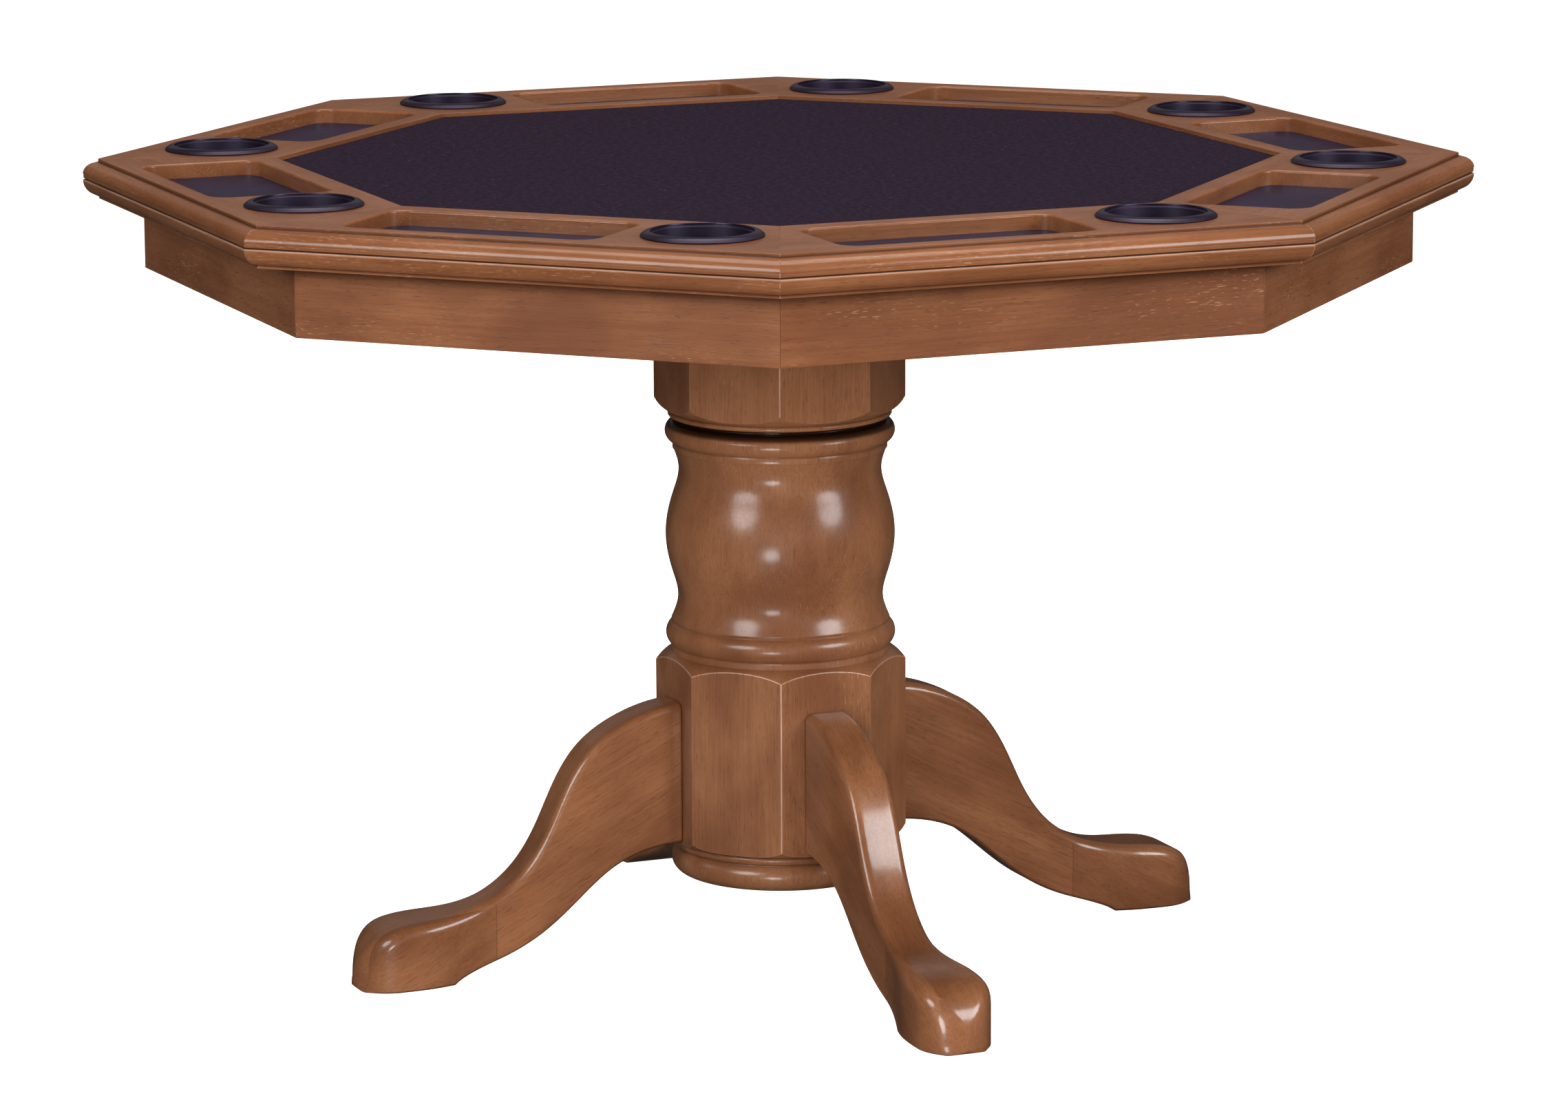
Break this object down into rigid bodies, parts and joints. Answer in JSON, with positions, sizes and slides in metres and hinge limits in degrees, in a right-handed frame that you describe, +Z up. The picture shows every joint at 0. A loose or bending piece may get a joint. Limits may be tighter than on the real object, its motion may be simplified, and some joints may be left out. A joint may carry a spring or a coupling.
{
  "type": "gaming table",
  "caption": "Octagonal card table with a felt field, a chip tray and drop-in cup at each seat, a moulded lift-off top, an apron and a turned pedestal on ogee legs.",
  "frame": {"origin": "on the floor, midway between the four feet, on the axis of the column", "axes": "+Z up along the column's axis; +X along leg 1, with rail 1 and apron 1 facing +X"},
  "size_m": [1.2192, 1.2192, 0.773],
  "materials": {
    "rail_wood": "medium brown stain under satin lacquer",
    "apron_wood": "medium brown stain under satin lacquer",
    "column_wood": "medium brown stain under semi-gloss lacquer",
    "leg_wood": "medium brown stain under semi-gloss lacquer",
    "panel_wood": "stained and lacquered veneer",
    "plywood": "bare plywood",
    "softwood": "bare planed softwood",
    "felt": "near-black aubergine speed felt",
    "liner_plastic": "smooth black sheet",
    "cup_plastic": "satin black moulding",
    "steel": "zinc-plated",
    "rubber": "matt"
  },
  "bodies": {
    "base": {"apron_1": "apron_wood", "apron_2": "apron_wood", "apron_3": "apron_wood", "apron_4": "apron_wood", "apron_5": "apron_wood", "apron_6": "apron_wood", "apron_7": "apron_wood", "apron_8": "apron_wood", "leg_1": "leg_wood", "leg_2": "leg_wood", "leg_3": "leg_wood", "leg_4": "leg_wood", "corner_blocks": "softwood", "corner_block_screws": "steel", "beam_lower": "softwood", "beam_upper": "softwood", "mounting_plate": "plywood", "plate_screws": "steel", "lag_screws": "steel", "column": "column_wood", "leg_bolts": "steel", "leg_nuts": "steel", "rest_pads": "rubber"},
    "top": {"upper_rail_1": "rail_wood", "lower_rail_1": "rail_wood", "tray_liner_1": "liner_plastic", "upper_rail_2": "rail_wood", "lower_rail_2": "rail_wood", "tray_liner_2": "liner_plastic", "upper_rail_3": "rail_wood", "lower_rail_3": "rail_wood", "tray_liner_3": "liner_plastic", "upper_rail_4": "rail_wood", "lower_rail_4": "rail_wood", "tray_liner_4": "liner_plastic", "upper_rail_5": "rail_wood", "lower_rail_5": "rail_wood", "tray_liner_5": "liner_plastic", "upper_rail_6": "rail_wood", "lower_rail_6": "rail_wood", "tray_liner_6": "liner_plastic", "upper_rail_7": "rail_wood", "lower_rail_7": "rail_wood", "tray_liner_7": "liner_plastic", "upper_rail_8": "rail_wood", "lower_rail_8": "rail_wood", "tray_liner_8": "liner_plastic", "mitre_splines": "softwood", "playfield_board": "plywood", "playfield_cloth": "felt", "dining_panel": "panel_wood"},
    "cup_body_1": {"cup_1": "cup_plastic"},
    "cup_body_2": {"cup_2": "cup_plastic"},
    "cup_body_3": {"cup_3": "cup_plastic"},
    "cup_body_4": {"cup_4": "cup_plastic"},
    "cup_body_5": {"cup_5": "cup_plastic"},
    "cup_body_6": {"cup_6": "cup_plastic"},
    "cup_body_7": {"cup_7": "cup_plastic"},
    "cup_body_8": {"cup_8": "cup_plastic"}
  },
  "joints": [
    {"name": "top_lift", "type": "slide", "parent": "base", "child": "top", "axis": [0, 0, 1], "range_m": [0, 0.3]},
    {"name": "cup_lift_1", "type": "slide", "parent": "top", "child": "cup_body_1", "axis": [0, 0, 1], "range_m": [0, 0.06]},
    {"name": "cup_lift_2", "type": "slide", "parent": "top", "child": "cup_body_2", "axis": [0, 0, 1], "range_m": [0, 0.06]},
    {"name": "cup_lift_3", "type": "slide", "parent": "top", "child": "cup_body_3", "axis": [0, 0, 1], "range_m": [0, 0.06]},
    {"name": "cup_lift_4", "type": "slide", "parent": "top", "child": "cup_body_4", "axis": [0, 0, 1], "range_m": [0, 0.06]},
    {"name": "cup_lift_5", "type": "slide", "parent": "top", "child": "cup_body_5", "axis": [0, 0, 1], "range_m": [0, 0.06]},
    {"name": "cup_lift_6", "type": "slide", "parent": "top", "child": "cup_body_6", "axis": [0, 0, 1], "range_m": [0, 0.06]},
    {"name": "cup_lift_7", "type": "slide", "parent": "top", "child": "cup_body_7", "axis": [0, 0, 1], "range_m": [0, 0.06]},
    {"name": "cup_lift_8", "type": "slide", "parent": "top", "child": "cup_body_8", "axis": [0, 0, 1], "range_m": [0, 0.06]}
  ]
}
